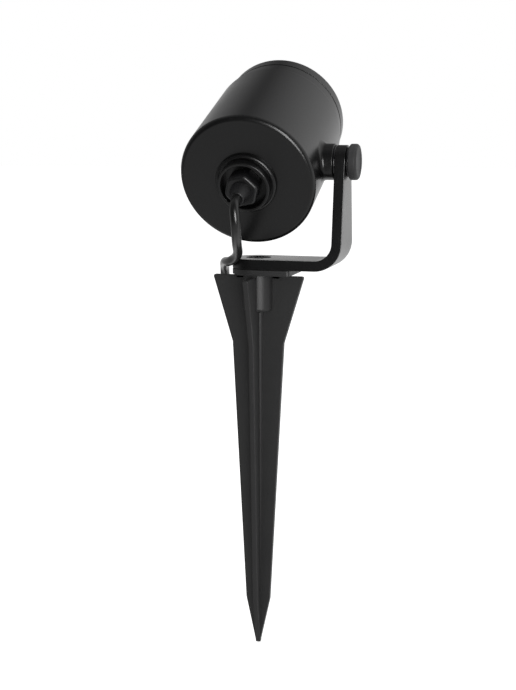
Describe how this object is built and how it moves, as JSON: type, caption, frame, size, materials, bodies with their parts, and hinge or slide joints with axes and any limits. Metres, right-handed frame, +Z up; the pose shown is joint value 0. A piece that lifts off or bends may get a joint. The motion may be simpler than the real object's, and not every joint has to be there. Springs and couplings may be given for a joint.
{
  "type": "garden spike spotlight",
  "caption": "Black garden spotlight on a cross-finned ground spike, with a swivelling, tilting head held by an L-shaped bracket and thumb knob, and a low-voltage lead with plug.",
  "frame": {"origin": "on the spike axis, level with the tops of the spike fins, where the ground surface meets the light when it is pushed fully in", "axes": "+Z up along the spike axis, +X towards the bracket arm and the thumb knob, +Y the way the lamp shines"},
  "size_m": [0.0751, 0.1026, 0.2726],
  "materials": {
    "spike_plastic": "matte, fine grain",
    "brass": "machined",
    "black_steel": "black finish",
    "bracket_paint": "satin powder coat",
    "head_paint": "satin powder coat",
    "knob_plastic": "satin moulded",
    "nylon_black": "smooth",
    "washer_plastic": "smooth",
    "steel": "plated",
    "front_glass": "clear",
    "lens_clear": "clear moulded",
    "seal_rubber": "soft",
    "led_white": "satin",
    "led_phosphor": "satin",
    "board_white": "solder mask",
    "board_green": "solder mask",
    "foil_grey": "soft",
    "aluminium": "machined",
    "copper_coil": "enamelled wire",
    "capacitor_can": "sleeved",
    "chip_black": "matte",
    "terminal_green": "satin",
    "core_red": "insulation",
    "wire_white": "insulation",
    "gland_plastic": "satin moulded",
    "cord_rubber": "smooth sheath",
    "tie_rubber": "soft strap",
    "plug_plastic": "satin moulded",
    "pin_metal": "nickel plated"
  },
  "bodies": {
    "ground_body": {"spike": "spike_plastic", "spike_insert": "brass", "foot_screw": "black_steel"},
    "bracket_body": {"bracket": "bracket_paint", "arm_bush": "nylon_black", "cord_lead": "cord_rubber", "cord_hank": "cord_rubber", "hank_tie": "tie_rubber", "plug_relief": "seal_rubber", "plug_body": "plug_plastic", "plug_seal": "seal_rubber", "plug_pins": "pin_metal"},
    "knob_body": {"thumb_knob": "knob_plastic", "knob_stud": "steel", "knob_washer": "washer_plastic"},
    "head_body": {"friction_washer": "washer_plastic", "housing": "head_paint", "pivot_insert": "steel", "front_bezel": "head_paint", "front_glass": "front_glass", "glass_gasket": "seal_rubber", "bezel_seal": "seal_rubber", "lens": "lens_clear", "lens_holder": "nylon_black", "led_base": "led_white", "led_face": "led_phosphor", "led_board": "board_white", "board_screws": "steel", "thermal_foil": "foil_grey", "heat_spreader": "aluminium", "led_wires": "wire_white", "driver_board": "board_green", "driver_coil": "copper_coil", "driver_capacitors": "capacitor_can", "driver_chips": "chip_black", "driver_standoffs": "nylon_black", "terminal_block": "terminal_green", "cable_cores": "core_red", "cable_tail": "cord_rubber", "rear_collar": "head_paint", "collar_lock_nut": "steel", "gland_body": "gland_plastic", "gland_seal": "seal_rubber", "gland_nut": "gland_plastic"}
  },
  "joints": [
    {"name": "bracket_swivel", "type": "hinge", "parent": "ground_body", "child": "bracket_body", "pos_m": [0, 0, 0.0036], "axis": [0, 0, 1], "range_deg": [-90, 90]},
    {"name": "head_tilt", "type": "hinge", "parent": "bracket_body", "child": "head_body", "pos_m": [0, 0, 0.0504], "axis": [1, 0, 0], "range_deg": [-50, 40]},
    {"name": "knob_turn", "type": "hinge", "parent": "head_body", "child": "knob_body", "pos_m": [0.0413, 0, 0.0504], "axis": [1, 0, 0], "range_deg": [0, 360]}
  ]
}
